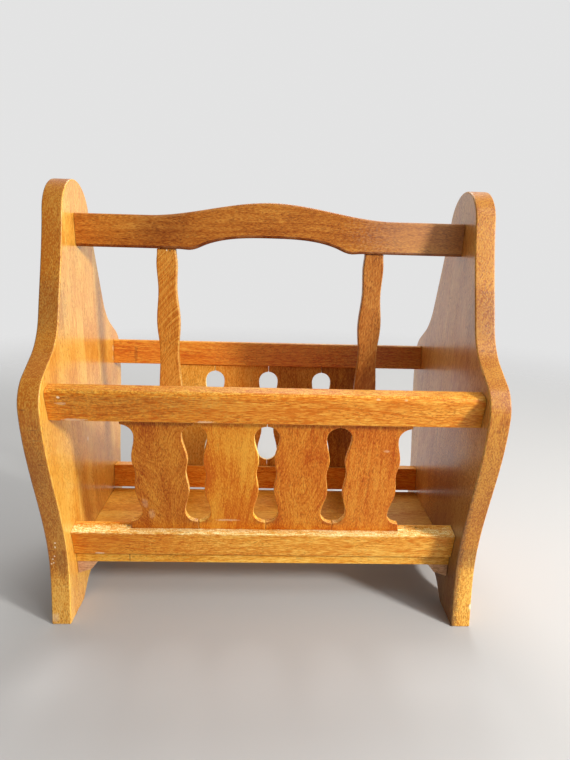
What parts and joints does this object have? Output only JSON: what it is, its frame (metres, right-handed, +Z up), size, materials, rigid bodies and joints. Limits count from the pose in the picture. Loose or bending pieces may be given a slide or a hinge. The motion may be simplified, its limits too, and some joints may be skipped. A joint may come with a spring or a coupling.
{
  "type": "magazine rack",
  "caption": "Free-standing wooden magazine rack with shaped end panels, leaning open sides of wavy splats, a bottom board and a curved carrying handle.",
  "frame": {"origin": "floor level, at the middle of the rack's length and depth", "axes": "+X along the length to the right end panel, +Y from the front side to the back side, +Z up"},
  "size_m": [0.4, 0.233, 0.405],
  "materials": {
    "honey_panel": "satin lacquer, honey",
    "gold_rail": "satin lacquer, golden",
    "amber_splat": "satin lacquer, amber",
    "honey_board": "satin lacquer, honey, glued staves",
    "raw_block": "bare sawn wood",
    "beech_dowel": "bare turned wood"
  },
  "bodies": {
    "root": {"back_bottom_rail": "gold_rail", "back_bottom_rail_dowel_left_lower": "beech_dowel", "back_bottom_rail_dowel_left_upper": "beech_dowel", "back_bottom_rail_dowel_right_lower": "beech_dowel", "back_bottom_rail_dowel_right_upper": "beech_dowel", "back_corner_block_left": "raw_block", "back_corner_block_right": "raw_block", "back_splat_1": "amber_splat", "back_splat_2": "amber_splat", "back_splat_3": "amber_splat", "back_splat_4": "amber_splat", "back_top_rail": "gold_rail", "back_top_rail_dowel_left_lower": "beech_dowel", "back_top_rail_dowel_left_upper": "beech_dowel", "back_top_rail_dowel_right_lower": "beech_dowel", "back_top_rail_dowel_right_upper": "beech_dowel", "bottom_board": "honey_board", "centre_splat_dowel_left_foot": "beech_dowel", "centre_splat_dowel_left_head": "beech_dowel", "centre_splat_dowel_right_foot": "beech_dowel", "centre_splat_dowel_right_head": "beech_dowel", "centre_splat_left": "amber_splat", "centre_splat_right": "amber_splat", "front_bottom_rail": "gold_rail", "front_bottom_rail_dowel_left_lower": "beech_dowel", "front_bottom_rail_dowel_left_upper": "beech_dowel", "front_bottom_rail_dowel_right_lower": "beech_dowel", "front_bottom_rail_dowel_right_upper": "beech_dowel", "front_corner_block_left": "raw_block", "front_corner_block_right": "raw_block", "front_splat_1": "amber_splat", "front_splat_2": "amber_splat", "front_splat_3": "amber_splat", "front_splat_4": "amber_splat", "front_top_rail": "gold_rail", "front_top_rail_dowel_left_lower": "beech_dowel", "front_top_rail_dowel_left_upper": "beech_dowel", "front_top_rail_dowel_right_lower": "beech_dowel", "front_top_rail_dowel_right_upper": "beech_dowel", "handle_dowel_left_lower": "beech_dowel", "handle_dowel_left_upper": "beech_dowel", "handle_dowel_right_lower": "beech_dowel", "handle_dowel_right_upper": "beech_dowel", "handle_rail": "amber_splat", "left_end_panel": "honey_panel", "right_end_panel": "honey_panel"}
  },
  "joints": []
}
